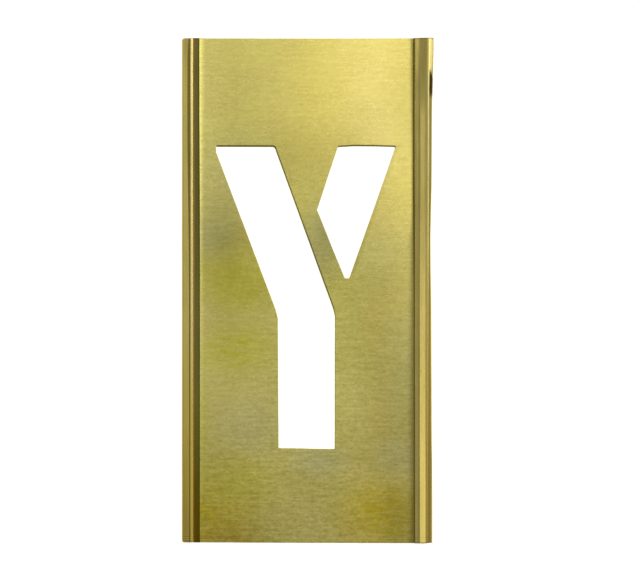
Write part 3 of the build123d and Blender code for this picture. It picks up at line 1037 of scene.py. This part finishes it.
    # painted highlight: the thin line just outside the dip and the lip's nose are brightened towards the bottom
    painted_light = g.math("ADD", g.math("MULTIPLY", g.remap(x, -0.03022, -0.03016, 0.0, 1.0, True), g.remap(x, -0.02996, -0.02990, 1.0, 0.0, True)), nose_highlight)
    painted_light = g.math("MULTIPLY", painted_light, g.remap(y, -0.036, -0.056, 0.0, 1.0, True))
    shade = g.math("MULTIPLY", shade, g.remap(painted_light, 0, 1, 1.0, 1.12))
    colour = g.mix(g.math("MULTIPLY", g.remap(y, 0.000, -0.052, 0.0, 0.75, True), lip_side), colour, ochre)
    colour = g.mix(1.0, colour, grey_of(nt, g, shade), "MULTIPLY")
    # a dark reflection painted near-black onto the outer bend below the flared corner
    dark_reflection = g.math("MULTIPLY", g.remap(x, 0.03046, 0.03062, 0.0, 1.0, True), g.remap(y, 0.0480, 0.0500, 0.0, 1.0, True))
    dark_reflection = g.math("MULTIPLY", dark_reflection, g.remap(g.math("MULTIPLY_ADD", x, 2.4, y), 0.1294, 0.1284, 0.0, 1.0, True))
    colour = g.mix(g.math("MULTIPLY", dark_reflection, 0.88), colour, black)
    colour = g.mix(1.0, colour, grey_of(nt, g, scribed(g, x, y, 0.30, 0.55)), "MULTIPLY")
    g.link(colour, bsdf.inputs["Base Color"])
    bsdf.inputs["Metallic"].default_value = 1.0
    rough = g.math("ADD", g.remap(draw, 0.3, 0.7, 0.20, 0.16), g.remap(marks, 0.35, 0.7, 0.0, 0.05))
    g.link(rough, bsdf.inputs["Roughness"])
    n = g.bump(draw, 1.0, 0.000004)
    n = g.bump(marks, 0.5, 0.00001, n)
    g.link(n, bsdf.inputs["Normal"])
    return mat


panel_mat = build_panel_brass()
rail_mat = build_rail_brass()
plate.data.materials.append(panel_mat)
left_rail.data.materials.append(rail_mat)
right_rail.data.materials.append(rail_mat)

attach(plate, "root")
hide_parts("letter_plate")
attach(left_rail, "root")
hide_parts("left_lock_rail")
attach(right_rail, "root")
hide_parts("right_lock_rail")

# ---------------------------------------------------------------------------
# floor, light, camera
# ---------------------------------------------------------------------------
floor_mesh = bpy.data.meshes.new("floor")
floor_mesh.from_pydata([(-4, -4, -0.00005), (4, -4, -0.00005), (4, 4, -0.00005), (-4, 4, -0.00005)], [], [(0, 1, 2, 3)])
floor = bpy.data.objects.new("floor", floor_mesh)
bpy.context.scene.collection.objects.link(floor)
floor_mat, nt, bsdf = new_material("floor_white")
g = Graph(nt)
paper = g.noise(g.scaled(30, 30, 30), detail=2)
g.link(g.mix(g.remap(paper, 0.3, 0.7, 0.0, 1.0), (0.93, 0.93, 0.93), (0.95, 0.95, 0.95)), bsdf.inputs["Base Color"])
bsdf.inputs["Roughness"].default_value = 0.9
bsdf.inputs["Specular IOR Level"].default_value = 0.1
bsdf.inputs["Emission Color"].default_value = (1, 1, 1, 1)
bsdf.inputs["Emission Strength"].default_value = 0.7
floor_mesh.materials.append(floor_mat)


def softbox(name, x, y, wide, long, radiance, turn=0.0):
    """Lit rectangle parallel to the floor, 0.9 m above it, turned about the vertical."""
    data = bpy.data.lights.new(name, "AREA")
    data.shape = "RECTANGLE"
    data.size, data.size_y = wide, long
    data.energy = radiance * math.pi * wide * long
    obj = bpy.data.objects.new(name, data)
    obj.location = (x, y, 0.90)
    obj.rotation_euler = (0, 0, math.radians(turn))
    bpy.context.scene.collection.objects.link(obj)
    return obj


softbox("key_top_right", 0.2546, 0.2546, 0.400, 0.460, 1.95, 45)
softbox("fill_right", 0.480, -0.205, 0.360, 0.490, 0.45)
softbox("fill_top", -0.225, 0.480, 0.450, 0.360, 0.25)

# the room: dark to the left and below, a little brighter towards the top right
world = bpy.data.worlds.new("studio")
bpy.context.scene.world = world
world.use_nodes = True
wt = world.node_tree
bg = wt.nodes["Background"]
w = Graph(wt)
way = wt.nodes.new("ShaderNodeSeparateXYZ")
w.link(wt.nodes.new("ShaderNodeTexCoord").outputs["Generated"], way.inputs[0])
dx, dy = way.outputs["X"], way.outputs["Y"]
low_left = w.remap(dx, -0.55, -0.75, 0.0, 1.0, True)
left = w.math("MULTIPLY", w.remap(dx, -0.06, -0.20, 0.0, 0.55, True), w.math("SUBTRACT", 1.0, low_left))
below = w.remap(dy, -0.05, -0.17, 1.0, 0.45, True)
right = w.remap(dx, 0.60, 0.75, 1.0, 0.55, True)
lit = w.math("MULTIPLY_ADD", w.math("ADD", dx, dy), 0.10, 0.50)
lit = w.math("MULTIPLY", lit, w.math("SUBTRACT", 1.0, left))
lit = w.math("MULTIPLY", lit, below)
lit = w.math("MULTIPLY", lit, right)
lit = w.math("MULTIPLY_ADD", low_left, 0.10, lit)
w.link(lit, bg.inputs["Strength"])
bg.inputs["Color"].default_value = (1.0, 1.0, 1.0, 1)

# The camera looks straight down on the plate, the plate a little left of and
# below the middle of the frame.
DIST = 650.0
PX = 0.2518
cam_data = bpy.data.cameras.new("camera")
cam_data.sensor_width = 36.0
cam_data.lens = 36.0 * (DIST - SHEET) / PX / 640
cam_data.clip_start = 0.01
cam = bpy.data.objects.new("camera", cam_data)
cam.location = (3.06 * MM, 1.02 * MM, DIST * MM)
cam.rotation_euler = (0, 0, 0)
bpy.context.scene.collection.objects.link(cam)
bpy.context.scene.camera = cam
bpy.context.scene.view_settings.view_transform = "Standard"
